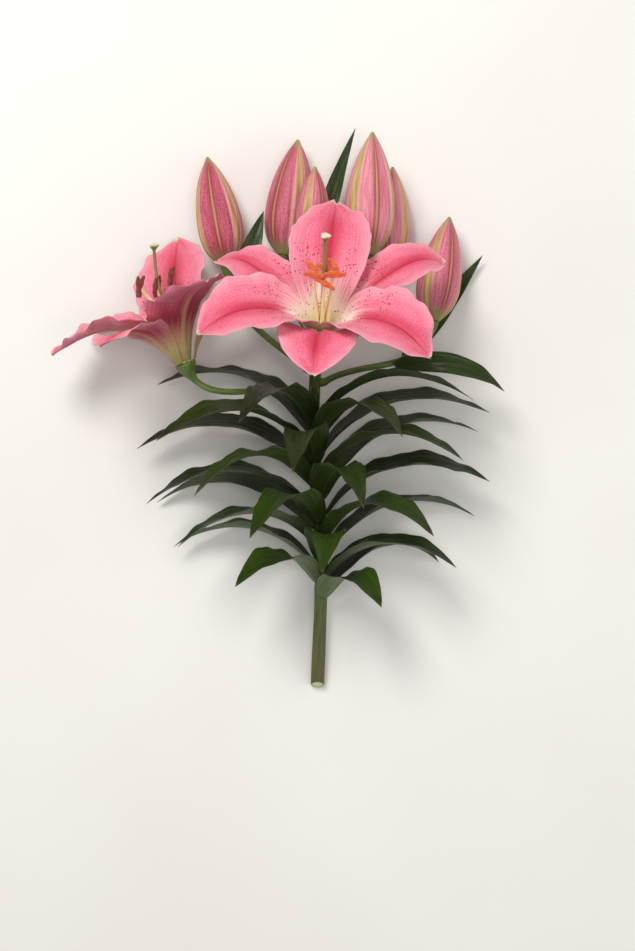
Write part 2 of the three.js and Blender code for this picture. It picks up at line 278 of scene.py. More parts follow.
def outward(axis, angle):
    """The direction at an angle round the stem from straight up."""
    up = unit(Z - axis * axis[2])
    right = unit(np.cross(axis, up))
    return up * math.cos(math.radians(angle)) + right * math.sin(math.radians(angle))


# The CAD centres the whole flower on its origin. The shift is where its stem stands, against where
# the same stem would stand here.
plain_stem = rod_rings(
    stem_curve,
    lambda u, turn: stem_radius(u),
    STEM["sides"],
    np.linspace(0, 1, STEM["rings"] + 1),
    STEM["slope"],
)
SHIFT = np.array(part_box("stem")[0]) / MM - plain_stem.reshape(-1, 3).min(0)


# ---- blades: leaves, bracts and tepals ----
def blade_track(base, out, axis, length, width, bend, width_at, thick, sweep=0.0, roll=0.0):
    """The middle line of a blade, and at each point the way across, its upper side and its half width."""
    side = unit(np.cross(axis, out))
    point = base.astype(float)
    track = []
    for i in range(TRACK_STEPS + 1):
        u = i / TRACK_STEPS
        angle, turn = math.radians(along(bend, u)), math.radians(sweep * u)
        tangent = out * math.cos(angle) * math.cos(turn) + axis * math.sin(angle)
        tangent = unit(tangent + side * math.cos(angle) * math.sin(turn))
        half = width * width_at(u) / 2
        rolled = math.radians(roll * u)
        facing = unit(side - tangent * (side @ tangent))
        normal = np.cross(tangent, facing)
        edge = facing * math.cos(rolled) + normal * math.sin(rolled)
        upper = normal * math.cos(rolled) - facing * math.sin(rolled)
        lowest = abs(edge[2]) * half + thick
        steepest = -max(point[2] - lowest, 0) / LEVEL_OUT
        if tangent[2] < steepest:
            tangent = unit(vec(tangent[0], tangent[1], steepest))
        track.append(np.concatenate([point, edge, upper, [half]]))
        point = point + tangent * length / TRACK_STEPS
    return np.array(track)


def blade_rings(track, shares, across, cup, detail, thick):
    """Closed rings of points round a thin blade: over its upper side from edge to edge, and back under it."""
    narrowest, lowest, tip_thickness = 0.15, 0.05, 0.45
    evenly = np.linspace(-1, 1, across + 1)
    v = np.sin(evenly * np.pi / 2) * 0.5 + evenly * 0.5
    rows = along(track, shares)
    centre, edge, upper = rows[:, 0:3], unit(rows[:, 3:6]), unit(rows[:, 6:9])
    half = np.maximum(rows[:, 9], narrowest)
    u_grid, v_grid = np.meshgrid(shares, v, indexing="ij")
    half_grid = half[:, None] * np.ones_like(v_grid)
    lift, spread = detail(u_grid, v_grid, half_grid)
    middle = centre[:, None] + edge[:, None] * (v_grid * half_grid * spread)[..., None]
    middle = middle + upper[:, None] * (cup(u_grid) * half_grid * v_grid**2 + lift)[..., None]
    lengthwise, crosswise = np.gradient(middle, axis=0), np.gradient(middle, axis=1)
    normal = unit(np.cross(lengthwise, crosswise) + 1e-12)
    middle[..., 2] = np.maximum(middle[..., 2], thick * 0.5 + lowest)
    depth = thick / 2 * np.sqrt(np.maximum(1 - v_grid**4, 0)) * lerp(1, tip_thickness, u_grid)
    offset = normal * depth[..., None]
    over, under = middle + offset, middle - offset
    rings = np.concatenate([over, under[:, -2:0:-1]], axis=1)
    ring_v = np.concatenate([v, v[-2:0:-1], v[:1]])
    return rings, ring_v, half


# ---- meshes ----
def skin(name, rings, across, shares, materials, size, split=None, tint=0.0):
    """A closed piece from rings of points.

    Its faces carry two places, across and along: "share" as given, and "cm" in centimetres, from the
    width at each ring and the length that size holds in mm. Faces before `split` round the ring take
    the first material and the rest the second.
    """
    n, k = rings.shape[:2]
    points = (rings.reshape(-1, 3) + SHIFT) * MM
    i, j = (a.ravel() for a in np.meshgrid(np.arange(n - 1), np.arange(k), indexing="ij"))
    after = (j + 1) % k
    quads = np.stack([i * k + j, i * k + after, (i + 1) * k + after, (i + 1) * k + j], 1)
    corners = ((j, i), (j + 1, i), (j + 1, i + 1), (j, i + 1))
    place = np.stack([np.stack([across[a], shares[b]], 1) for a, b in corners], 1)
    width, length = np.broadcast_to(size[0], n), size[1]
    wide = np.stack([width[b] for _, b in corners], 1)
    cm = np.stack([place[..., 0] * wide / 10, place[..., 1] * length / 10], -1)
    first, last = list(range(k))[::-1], list(range((n - 1) * k, n * k))
    a, b, c, d = (points[quads[:, corner]] for corner in range(4))
    volume = np.einsum("ij,ij->", a, np.cross(b, c)) + np.einsum("ij,ij->", a, np.cross(c, d))
    if volume < 0:  # the faces look inwards
        quads, place, cm = quads[:, ::-1], place[:, ::-1], cm[:, ::-1]
        first, last = first[::-1], last[::-1]
    faces = [q.tolist() for q in quads] + [first, last]
    mesh = bpy.data.meshes.new(name)
    mesh.from_pydata(points.tolist(), [], faces)
    caps = np.repeat([[0.0, shares[0]], [0.0, shares[-1]]], k, axis=0)
    for title, values, scale in (("share", place, 1), ("cm", cm, length / 10)):
        layer = mesh.uv_layers.new(name=title)
        layer.data.foreach_set("uv", np.concatenate([values.reshape(-1, 2), caps * [1, scale]]).ravel())
    tints = mesh.attributes.new("tint", "FLOAT", "POINT")
    tints.data.foreach_set("value", np.full(len(points), tint))
    for material in materials:
        mesh.materials.append(material)
    if split is not None:
        slots = np.concatenate([np.where(j >= split, 1, 0), [0, 0]])
        mesh.polygons.foreach_set("material_index", slots)
    mesh.polygons.foreach_set("use_smooth", [True] * len(quads) + [False, False])
    mesh.validate()
    mesh.update()
    piece = bpy.data.objects.new(name, mesh)
    bpy.context.scene.collection.objects.link(piece)
    return piece


def rod_piece(name, curve, radius, sides, shares, material, girth, slope=0.0, roll=0.0, tint=0.0):
    """A closed rod round a curve. girth, in mm, is how far it is round the rod for the patterns on it."""
    rings = rod_rings(curve, radius, sides, shares, slope)
    turns = np.arange(sides + 1) / sides + roll
    return skin(name, rings, turns, shares, [material], (girth, curve.length), tint=tint)


def stands_for(piece, node):
    """Puts a piece in the place of a CAD node."""
    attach(piece, "root")
    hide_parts(node)


def joined(name, pieces):
    """One piece from several, under a name of its own."""
    with bpy.context.temp_override(active_object=pieces[0], selected_editable_objects=pieces):
        bpy.ops.object.join()
    pieces[0].name = name
    pieces[0].data.name = name
    return pieces[0]


# ---- materials ----
def rgb(code):
    """A colour from its usual six-figure code, as the linear values that shaders take."""
    parts = [int(code[i : i + 2], 16) / 255 for i in (1, 3, 5)]
    return [*(p / 12.92 if p <= 0.04045 else ((p + 0.055) / 1.055) ** 2.4 for p in parts), 1.0]


class Shader:
    """A material with a Principled shader, and short names for the nodes that feed it."""

    def __init__(self, name, **constants):
        self.material = bpy.data.materials.new(name)
        self.material.use_nodes = True
        self.tree = self.material.node_tree
        self.tree.nodes.clear()
        inputs = {title.replace("_", " "): value for title, value in constants.items()}
        self.principled = self.add("ShaderNodeBsdfPrincipled", inputs)
        output = self.add("ShaderNodeOutputMaterial")
        self.tree.links.new(self.principled.outputs[0], output.inputs[0])
        self.places = {}

    def add(self, kind, inputs=None, **settings):
        node = self.tree.nodes.new(kind)
        for key, value in settings.items():
            setattr(node, key, value)
        for key, value in (inputs or {}).items():
            if isinstance(value, bpy.types.NodeSocket):
                self.tree.links.new(value, node.inputs[key])
            else:
                node.inputs[key].default_value = value
        return node

    def math(self, operation, a, b=0.0):
        return self.add("ShaderNodeMath", {0: a, 1: b}, operation=operation).outputs[0]

    def place(self, layer):
        """The two numbers of a place layer, across and along."""
        if layer not in self.places:
            uv = self.add("ShaderNodeUVMap", uv_map=layer).outputs[0]
            split = self.add("ShaderNodeSeparateXYZ", {0: uv})
            self.places[layer] = uv, split.outputs[0], split.outputs[1]
        return self.places[layer]

    def tint(self):
        return self.add("ShaderNodeAttribute", attribute_name="tint").outputs["Fac"]

    def stretched(self, across, lengthwise):
        """Coordinates for patterns that draw together at both ends, as veins do."""
        uv = self.place("share")[0]
        inputs = {0: uv, 1: (across, lengthwise, 1.0)}
        return self.add("ShaderNodeVectorMath", inputs, operation="MULTIPLY").outputs[0]

    def wrapped(self, across, lengthwise):
        """The same for a rod, with the pattern meeting itself round the back."""
        _, turn, u = self.place("share")
        angle = self.math("MULTIPLY", turn, 2 * math.pi)
        ring = [self.math(side, angle) for side in ("SINE", "COSINE")]
        radius = across / (2 * math.pi)
        inputs = {0: self.math("MULTIPLY", ring[0], radius), 1: self.math("MULTIPLY", u, lengthwise)}
        inputs[2] = self.math("MULTIPLY", ring[1], radius)
        return self.add("ShaderNodeCombineXYZ", inputs).outputs[0]

    def solid(self, scale):
        """Coordinates in the solid, in cells of 1 / scale cm."""
        metres = self.add("ShaderNodeTexCoord").outputs["Object"]
        inputs = {0: metres, 1: (scale * 100,) * 3}
        return self.add("ShaderNodeVectorMath", inputs, operation="MULTIPLY").outputs[0]

    def noise(self, vector, scale, detail=3.0, roughness=0.5):
        inputs = {"Vector": vector, "Scale": scale, "Detail": detail, "Roughness": roughness}
        return self.add("ShaderNodeTexNoise", inputs).outputs[0]

    def step(self, value, low, high, to_low=0.0, to_high=1.0):
        """value taken smoothly from to_low at low to to_high at high."""
        inputs = {"Value": value, "From Min": low, "From Max": high, "To Min": to_low, "To Max": to_high}
        return self.add("ShaderNodeMapRange", inputs, interpolation_type="SMOOTHSTEP").outputs[0]

    def ramp(self, value, *stops):
        node = self.add("ShaderNodeValToRGB", {0: value})
        elements = node.color_ramp.elements
        while len(elements) < len(stops):
            elements.new(0.5)
        for element, (at, code) in zip(elements, stops):
            element.position, element.color = at, rgb(code)
        return node.outputs[0]

    def mix(self, share, a, b):
        a, b = (rgb(c) if isinstance(c, str) else c for c in (a, b))
        return self.add("ShaderNodeMix", {0: share, 6: a, 7: b}, data_type="RGBA").outputs[2]

    def product(self, *values):
        result = values[0]
        for value in values[1:]:
            result = self.math("MULTIPLY", result, value)
        return result

    def over(self, colour, other, *shares):
        """Another colour laid over a colour, as thick as the product of the shares."""
        return self.mix(self.product(*shares), colour, other)

    def bump(self, *layers):
        """Each layer is a height and its depth in mm."""
        normal = None
        for height, depth in layers:
            inputs = {"Height": height, "Distance": depth * MM, "Strength": 1.0}
            if normal is not None:
                inputs["Normal"] = normal
            normal = self.add("ShaderNodeBump", inputs).outputs[0]
        self.tree.links.new(normal, self.principled.inputs["Normal"])

    def finish(self, colour, roughness=None):
        self.tree.links.new(colour, self.principled.inputs["Base Color"])
        if roughness is not None:
            self.tree.links.new(roughness, self.principled.inputs["Roughness"])
        return self.material


def veins(s, count, waver=0.1):
    """Lines along a blade that draw together at both ends, from 0 between them to 1 on them."""
    _, across, _ = s.place("share")
    drift = s.noise(s.stretched(2.0, 3.8), 1.0, 2.0)
    even = s.math("MULTIPLY", across, count * math.pi)
    phase = s.math("ADD", even, s.math("MULTIPLY", drift, waver * 12))
    return s.step(s.math("SINE", phase), -0.2, 1.0)


PETAL = dict(
    Subsurface_Scale=0.004,
    Subsurface_Radius=(1.0, 0.35, 0.3),
    Specular_IOR_Level=0.35,
    Sheen_Roughness=0.5,
)


def inner_tepal_material():
    """The side of a tepal that faces into the flower: cream throat, rose blade and raised speckles."""
    s = Shader("tepal_inside", Subsurface_Weight=0.12, Sheen_Weight=0.12, **PETAL)
    _, across, u = s.place("share")
    edge = s.math("ABSOLUTE", across)
    cloud = s.noise(s.stretched(2.6, 4.5), 1.0, 4.0)
    streak = s.noise(s.stretched(20.0, 4.0), 1.0, 3.0)
    # how far out the pale throat has turned pink: sooner along the edges than down the middle
    out = s.math("ADD", u, s.math("MULTIPLY", edge, 0.16))
    out = s.math("ADD", out, s.step(streak, 0.3, 0.7, -0.05, 0.05))
    colour = s.ramp(
        out,
        (0.03, "#dcd88a"),
        (0.14, "#fdeebb"),
        (0.31, "#ffeee2"),
        (0.43, "#f9a5b5"),
        (0.56, "#f3728f"),
        (0.9, "#ec5c7d"),
    )
    colour = s.over(colour, "#e24a70", s.step(streak, 0.35, 0.75), s.step(out, 0.3, 0.6), 0.45)
    colour = s.over(colour, "#f99bb2", s.step(cloud, 0.4, 0.75), s.step(out, 0.3, 0.6), 0.45)
    mottle = s.noise(s.place("cm")[0], 6.0, 4.0, 0.6)
    blade = s.step(out, 0.32, 0.55)
    colour = s.over(colour, "#fbaec0", s.step(mottle, 0.4, 0.66), blade, 0.24)
    colour = s.over(colour, "#d23a62", s.step(mottle, 0.52, 0.32), blade, 0.24)
    pale_edge = s.product(s.step(edge, 0.5, 1.0), s.step(out, 0.35, 0.6), 0.75)
    colour = s.mix(pale_edge, colour, "#fba9bd")
    flush = s.product(s.step(edge, 0.42, 0.03), s.step(u, 0.3, 0.46), s.step(u, 1.0, 0.75), 0.9)
    colour = s.mix(flush, colour, "#cf2f50")
    rib = s.product(s.step(edge, 0.07, 0.0), s.step(u, 0.3, 0.5), s.step(u, 1.02, 0.85), 0.8)
    colour = s.mix(rib, colour, "#b81c40")
    lines = veins(s, 22)
    colour = s.over(colour, "#d63a62", lines, s.step(out, 0.3, 0.55), 0.14)
    from_foot = s.math("SUBTRACT", u, s.step(s.tint(), 0.5, 1.0, 0.0, 0.3))
    furrow = s.product(s.step(edge, 0.13, 0.03), s.step(from_foot, 0.25, 0.12), 0.85)
    colour = s.mix(furrow, colour, "#b9bf5c")
    tip = s.step(u, 0.965, 1.0)
    colour = s.over(colour, "#e9e2b4", tip, 0.7)
    # speckles, each on its own small wart
    cells = s.add("ShaderNodeTexVoronoi", {"Vector": s.place("cm")[0], "Scale": 3.7, "Randomness": 0.9})
    reach = s.step(s.noise(s.place("cm")[0], 1.1, 1.0), 0.2, 0.4)
    band = s.product(s.step(u, 0.12, 0.2), s.step(u, 0.62, 0.42), s.step(edge, 0.98, 0.7), reach)
    lot = s.add("ShaderNodeSeparateColor", {0: cells.outputs[1]}).outputs[0]
    chosen = s.step(s.math("SUBTRACT", band, lot), -0.4, -0.3)
    spot = s.product(s.step(cells.outputs[0], 0.27, 0.17), chosen, s.step(band, 0.02, 0.1), 0.9)
    colour = s.mix(spot, colour, "#8c0f30")
    grain = s.noise(s.place("cm")[0], 60.0, 2.0)
    s.bump((lines, 0.07), (streak, 0.14), (mottle, 0.12), (grain, 0.06), (spot, 0.5))
    return s.finish(colour, s.step(cloud, 0.2, 0.8, 0.42, 0.56))


def outer_tepal_material():
    """The back of a tepal: deeper rose, a pale rib down its middle and a yellow-green base, paler on a flower
    of high tint and darker at tint 0, partly painted shade.
    """
    s = Shader("tepal_outside", Subsurface_Weight=0.1, Sheen_Weight=0.1, **PETAL)
    _, across, u = s.place("share")
    edge = s.math("ABSOLUTE", across)
    cloud = s.noise(s.stretched(2.4, 4.0), 1.0, 4.0)
    streak = s.noise(s.stretched(24.0, 4.5), 1.0, 3.0)
    out = s.math("ADD", u, s.step(streak, 0.3, 0.7, -0.05, 0.05))
    colour = s.ramp(
        out,
        (0.02, "#93954a"),
        (0.12, "#bfae6c"),
        (0.24, "#c18a72"),
        (0.4, "#ad3650"),
        (0.7, "#c64866"),
        (0.97, "#e0708a"),
    )
    # painted light and shade, in part: a high tint, on the lit front flower, swaps in this paler ramp, while
    # tint 0 keeps the side flower's backs in the darker rose above
    pale_foot = s.ramp(out, (0.02, "#c9cf86"), (0.14, "#f3e6bf"), (0.34, "#fbd3cb"), (0.6, "#e77f98"))
    colour = s.mix(s.step(s.tint(), 0.0, 0.5), colour, pale_foot)
    # painted shade, in part: the deep streaks are laid on more thickly at tint 0, on the side flower
    depth = s.step(s.tint(), 0.0, 0.5, 0.55, 0.2)
    deep = s.product(s.step(streak, 0.35, 0.75), s.step(out, 0.2, 0.45), depth)
    colour = s.mix(deep, colour, "#8f1c38")
    colour = s.over(colour, "#e589a0", s.step(cloud, 0.4, 0.75), 0.3)
    colour = s.over(colour, "#efa2b4", s.step(edge, 0.5, 1.0), s.step(out, 0.3, 0.5), 0.6)
    rib = s.product(s.step(edge, 0.1, 0.02), s.step(u, 0.9, 0.5), 0.6)
    colour = s.mix(rib, colour, "#b7a765")
    beside = s.product(s.step(edge, 0.1, 0.16), s.step(edge, 0.34, 0.18), s.step(u, 0.2, 0.4), 0.4)
    colour = s.mix(beside, colour, "#a01f47")
    lines = veins(s, 20)
    colour = s.over(colour, "#b02c55", lines, s.step(out, 0.2, 0.5), 0.3)
    grain = s.noise(s.place("cm")[0], 60.0, 2.0)
    s.bump((lines, 0.16), (streak, 0.2), (grain, 0.05))
    return s.finish(colour, s.step(cloud, 0.2, 0.8, 0.42, 0.56))


def leaf_material(name, dark, mid, painted_light_green, pale, rough):
    """A leaf's side: long veins, a paler midrib and margin, and cloudy greens from dark to a brighter green
    that tint lays on as painted light.
    """
    s = Shader(name, Coat_Weight=0.2, Coat_Roughness=0.25, Specular_IOR_Level=0.45)
    _, across, u = s.place("share")
    edge = s.math("ABSOLUTE", across)
    cloud = s.noise(s.stretched(2.0, 5.0), 1.0, 5.0)
    streak = s.noise(s.stretched(16.0, 5.0), 1.0, 3.0)
    colour = s.mix(s.step(cloud, 0.3, 0.7), dark, mid)
    # painted light: tint lays the brighter green on the leaves that face up towards the lamps, and leaves the
    # rest dark as painted shade
    colour = s.over(colour, painted_light_green, s.tint(), s.step(cloud, 0.1, 0.9, 0.6, 1.0))
    colour = s.over(colour, pale, s.step(streak, 0.4, 0.8), 0.35)
    lines = veins(s, 13, 0.15)
    fine = veins(s, 45, 0.15)
    colour = s.over(colour, dark, lines, 0.3)
    rib = s.product(s.step(edge, 0.06, 0.01), s.step(u, 1.0, 0.6), 0.6)
    colour = s.mix(rib, colour, pale)
    colour = s.over(colour, pale, s.step(edge, 0.93, 1.0), 0.5)
    colour = s.over(colour, pale, s.step(u, 0.12, 0.0), 0.5)
    colour = s.over(colour, "#8a7a3c", s.step(u, 0.95, 1.0), 0.6)
    dots = s.add("ShaderNodeTexVoronoi", {"Vector": s.place("cm")[0], "Scale": 26.0})
    pores = s.step(dots.outputs[0], 0.1, 0.4)
    s.bump((lines, 0.45), (fine, 0.1), (rib, 0.5), (pores, 0.03))
    return s.finish(colour, s.step(cloud, 0.2, 0.8, rough - 0.06, rough + 0.08))


def bud_material():
    """A closed bud: mottled rose between three broad yellow-green keels, and greenish at both ends; its rose
    is deeper at a low tint, partly painted shade.
    """
    s = Shader(
        "bud_skin",
        Subsurface_Weight=0.08,
        Subsurface_Scale=0.004,
        Subsurface_Radius=(1.0, 0.4, 0.3),
        Specular_IOR_Level=0.4,
        Sheen_Weight=0.1,
        Sheen_Roughness=0.5,
    )
    _, turn, u = s.place("share")
    pale = s.tint()
    wave = s.math("PINGPONG", s.math("MULTIPLY", turn, 3.0), 0.5)
    seam = s.math("MULTIPLY", wave, 2.0)  # 0 on an outer tepal's rib, 1 on the keel between two of them
    streak = s.noise(s.wrapped(100.0, 4.5), 1.0, 4.0)
    mottle = s.noise(s.wrapped(150.0, 60.0), 1.0, 3.0)
    # painted shade, in part: a low tint gives this deep rose, so the shaded buds come out darker
    deep = s.mix(s.step(streak, 0.35, 0.7), "#a52a43", "#cf5a76")
    light = s.mix(s.step(streak, 0.35, 0.7), "#db7689", "#f0a5b0")
    colour = s.mix(pale, deep, light)
    colour = s.over(colour, "#f2a9b8", s.step(mottle, 0.42, 0.62), 0.35)
    colour = s.over(colour, "#b02a48", s.step(seam, 0.45, 0.12), s.step(pale, 0.0, 1.0, 0.6, 0.3))
    frayed = s.math("ADD", seam, s.step(streak, 0.3, 0.7, -0.03, 0.03))
    keel = s.step(s.math("ADD", frayed, s.math("MULTIPLY", pale, 0.08)), 0.77, 0.9)
    band = s.mix(s.step(streak, 0.3, 0.7), "#a99a4c", "#d6b776")
    colour = s.over(colour, band, keel, 0.92)
    lip = s.product(s.step(seam, 0.66, 0.74), s.step(seam, 0.84, 0.76), 0.55)
    colour = s.mix(lip, colour, "#f2b0b8")
    rib = s.product(s.step(seam, 0.09, 0.02), s.step(u, 0.02, 0.2), 0.8)
    colour = s.mix(rib, colour, "#b39a52")
    colour = s.over(colour, "#7e1a34", s.step(seam, 0.02, 0.06), s.step(seam, 0.16, 0.08), 0.6)
    colour = s.over(colour, "#8fa04c", s.step(u, 0.16, 0.0), 0.85)
    colour = s.over(colour, "#b7b06c", s.step(u, 0.9, 1.0), 0.8)
    lines = s.step(s.math("SINE", s.math("MULTIPLY", turn, 2 * math.pi * 72)), -0.4, 1.0)
    grain = s.noise(s.place("cm")[0], 50.0, 2.0)
    s.bump((streak, 0.35), (lines, 0.07), (mottle, 0.12), (grain, 0.05))
    return s.finish(colour, s.step(mottle, 0.2, 0.8, 0.4, 0.56))


def stem_material(name, light, dark, speck, foot_brown):
    """A green stem: fine ridges along it, cloudy shades and small purple-brown specks."""
    s = Shader(name, Coat_Weight=0.08, Coat_Roughness=0.35, Specular_IOR_Level=0.4)
    _, turn, u = s.place("share")
    streak = s.noise(s.wrapped(16.0, 9.0), 1.0, 4.0)
    cloud = s.noise(s.wrapped(2.6, 7.0), 1.0, 3.0)
    colour = s.mix(s.step(streak, 0.3, 0.7), dark, light)
    colour = s.over(colour, dark, s.step(cloud, 0.45, 0.7), 0.5)
    brown = s.math("MULTIPLY", s.step(u, 0.42, 0.0), foot_brown)
    colour = s.over(colour, "#5d4a2a", brown, s.step(streak, 0.2, 0.75, 0.4, 1.0))
    cells = s.add("ShaderNodeTexVoronoi", {"Vector": s.wrapped(3.2, 12.0), "Scale": 8.0})
    specks = s.product(s.step(cells.outputs[0], 0.3, 0.16), s.step(cloud, 0.35, 0.6), speck)
    colour = s.mix(specks, colour, "#4a2a2c")
    ridges = s.step(s.math("SINE", s.math("MULTIPLY", turn, 2 * math.pi * 22)), -0.6, 1.0)
    grain = s.noise(s.place("cm")[0], 40.0, 3.0)
    s.bump((ridges, 0.12), (streak, 0.3), (specks, 0.1), (grain, 0.06))
    return s.finish(colour, s.step(streak, 0.2, 0.8, 0.42, 0.58))


def cut_material():
    """The cut foot: moist pale pith, dotted with bundles and ringed by green rind."""
    s = Shader("cut_face", Coat_Weight=0.25, Coat_Roughness=0.2)
    u = s.place("share")[2]
    cells = s.add("ShaderNodeTexVoronoi", {"Vector": s.solid(1.0), "Scale": 9.0})
    pith = s.mix(s.step(cells.outputs[0], 0.35, 0.15), "#d3d9a2", "#8f9d55")
    colour = s.mix(s.step(u, 0.72, 0.95), pith, "#5f7c35")
    grain = s.noise(s.place("cm")[0], 40.0, 3.0)
    s.bump((cells.outputs[0], 0.2), (grain, 0.1))
    return s.finish(colour, s.step(grain, 0.2, 0.8, 0.3, 0.5))


def filament_material():
    """A pale yellow filament, green at its foot and rosy at its tip."""
    s = Shader("filament", Subsurface_Weight=0.1, Subsurface_Scale=0.002)
    u = s.place("share")[2]
    streak = s.noise(s.wrapped(9.0, 4.0), 1.0, 3.0)
    colour = s.ramp(u, (0.0, "#dfe0a0"), (0.2, "#fbecb6"), (0.75, "#fdeec6"), (1.0, "#f3c3ac"))
    colour = s.over(colour, "#e3c98c", s.step(streak, 0.4, 0.7), 0.4)
    s.bump((streak, 0.15))
    return s.finish(colour, s.step(streak, 0.2, 0.8, 0.4, 0.55))


def anther_material():
    """Ripe anthers under loose pollen: orange, or a dark red-brown where tint is 1."""
    s = Shader("anther", Sheen_Weight=0.3, Sheen_Roughness=0.6)
    cm = s.place("cm")[0]
    cloud = s.noise(cm, 6.0, 4.0)
    orange = s.mix(s.step(cloud, 0.35, 0.65), "#dd4406", "#f5761a")
    brown = s.mix(s.step(cloud, 0.4, 0.7), "#6d1410", "#a8431c")
    colour = s.mix(s.tint(), orange, brown)
    pollen = s.add("ShaderNodeTexVoronoi", {"Vector": cm, "Scale": 60.0})
    colour = s.over(colour, "#9c3008", s.step(pollen.outputs[0], 0.4, 0.75), 0.25)
    s.bump((pollen.outputs[0], 0.18), (cloud, 0.3))
    return s.finish(colour, s.step(cloud, 0.2, 0.8, 0.75, 0.9))


def pistil_material():
    """A green ovary and style, and a moist cream stigma."""
    s = Shader("pistil", Coat_Weight=0.2, Coat_Roughness=0.3)
    u = s.place("share")[2]
    streak = s.noise(s.wrapped(8.0, 6.0), 1.0, 3.0)
    colour = s.ramp(
        u,
        (0.0, "#8ca04c"),
        (0.24, "#8fa34d"),
        (0.34, "#a2a860"),
        (0.8, "#808838"),
        (0.95, "#6d7a36"),
    )
    colour = s.over(colour, "#66722c", s.step(streak, 0.4, 0.7), 0.45)
    colour = s.mix(s.step(u, 0.955, 0.985), colour, "#dfe0bc")
    grain = s.noise(s.place("cm")[0], 50.0, 2.0)
    s.bump((streak, 0.12), (grain, 0.12))
    return s.finish(colour, s.step(u, 0.93, 0.97, 0.48, 0.25))


TEPAL_SIDES = [inner_tepal_material(), outer_tepal_material()]
LEAF_SIDES = [
    leaf_material("leaf_upper", "#0f1704", "#1f3009", "#4a6c12", "#56692f", 0.32),
    leaf_material("leaf_under", "#24310f", "#38491f", "#587226", "#748250", 0.48),
]
BUD_SKIN = bud_material()
STEM_SKIN = stem_material("stem_skin", "#5f7434", "#3a4d22", 0.6, 0.75)
STALK_SKIN = stem_material("stalk_skin", "#75893f", "#4a6229", 0.2, 0.0)
CUT_FACE = cut_material()
FILAMENT, ANTHER, PISTIL_SKIN = filament_material(), anther_material(), pistil_material()


# ---- leaves ----
def lanceolate(peak, foot):
    """A leaf's width by share of its length: widest at peak, and foot wide where it grows from."""
    power = math.log(0.5) / math.log(peak)

    def width_at(u):
        clasp = foot * (1 - u) ** 3
        return clasp + (1 - clasp) * np.sin(np.pi * np.clip(u, 0, 1) ** power) ** 0.9

    return width_at


LEAF_SHARES = np.concatenate([np.linspace(0, 0.94, 70), np.linspace(0.945, 0.9985, 14)])


def leaf_detail(seed, length):
    """A leaf's midrib channel, its long folds along the veins and the slow waves of its margin."""
    rng = np.random.default_rng(seed)
    phases = rng.uniform(0, 2 * np.pi, 6)
    wave = rng.uniform(0.7, 1.5)
    channel_depth, channel_width = 0.9, 1.3
    fold_depth, fold_spacing = 0.22, 4.4
    wave_length, ripple_length, edge_length = 46, 19, 31

    def detail(u, v, half):
        distance = v * half
        at = 2 * np.pi * u * length
        channel = -channel_depth * np.exp(-((distance / channel_width) ** 2)) * smoothstep(1, 0.7, u)
        folds = fold_depth * np.cos(distance * 2 * np.pi / fold_spacing)
        folds = folds * smoothstep(1, 0.75, np.abs(v)) * smoothstep(0, 0.15, u)
        sides = np.where(v > 0, phases[0], phases[1])
        ruffle = wave * np.abs(v) ** 2.2 * np.sin(at / wave_length + sides)
        ruffle += 0.35 * wave * np.abs(v) ** 3 * np.sin(at / ripple_length + 2 * sides)
        lift = channel + folds + ruffle * smoothstep(0.08, 0.3, u) * smoothstep(1, 0.8, u)
        return lift, 1 + 0.015 * np.sin(at / edge_length + sides)

    return detail


def leaf_piece(name, node, spec, seed, tint):
    """A leaf or bract from what blade_track needs of it."""
    across = ACROSS["leaf"]
    detail = leaf_detail(seed, spec["length"])
    edge_thickness = LEAF["thick"] * 0.6  # thinner than the CAD's leaf, as a real one is
    track = blade_track(**spec, thick=LEAF["thick"])
    rings, v, half = blade_rings(track, LEAF_SHARES, across, lambda u: LEAF["cup"], detail, edge_thickness)
    size = (half, spec["length"])
    piece = skin(name, rings, v, LEAF_SHARES, LEAF_SIDES, size, split=across, tint=tint)
    stands_for(piece, node)


def leaf_spot(i):
    """How far up the spiral a leaf grows as a share, its distance up the stem, and its angle round it."""
    share = i / (SPIRAL["count"] - 1)
    turned = (i * SPIRAL["turn"] + SPIRAL["phase"]) % 360 - 180
    height = lerp(SPIRAL["from_foot"], stem_curve.length - SPIRAL["from_top"], share)
    return share, height, turned * SPIRAL["sector"] / 180


for i in range(SPIRAL["count"]):
    share, height, angle = leaf_spot(i)
    centre, axis, radius = stem_at(height)
    out = outward(axis, angle)
    droop = along([1.25, 1.1, 1, 0.9, 0.8], share)
    spec = dict(
        base=centre + out * (radius + GAP + LEAF["thick"] / 2),
        out=out,
        axis=axis,
        length=LEAF["length"] * along([0.72, 0.95, 1.04, 1.06, 1.0], share),
        width=LEAF["width"],
        bend=[52, 30 - 6 * droop, -8 * droop, -34 * droop],
        sweep=12 * math.sin(2.3 * i),
        roll=16 * math.cos(1.7 * i),
        width_at=lanceolate(LEAF["peak"], LEAF["foot"]),
    )
    # painted light: the lowest leaves that point up off the table are painted the brightest, and the others
    # darker as painted shade
    tint = 0.15 + 0.75 * (1 - share) * max(math.cos(math.radians(angle)), 0) + 0.12 * math.sin(5.1 * i)
    node = f"leaf_{i + 1:02d}"
    leaf_piece(f"lily_{node}", node, spec, 100 + i, float(np.clip(tint, 0, 1)))


# ---- stem ----
STEM_SHARES = np.concatenate([[0, 0.001, 0.003, 0.006], np.linspace(0.01, 0.994, 240), [0.998, 1]])
leaf_feet = [leaf_spot(i)[1:] for i in range(SPIRAL["count"])]


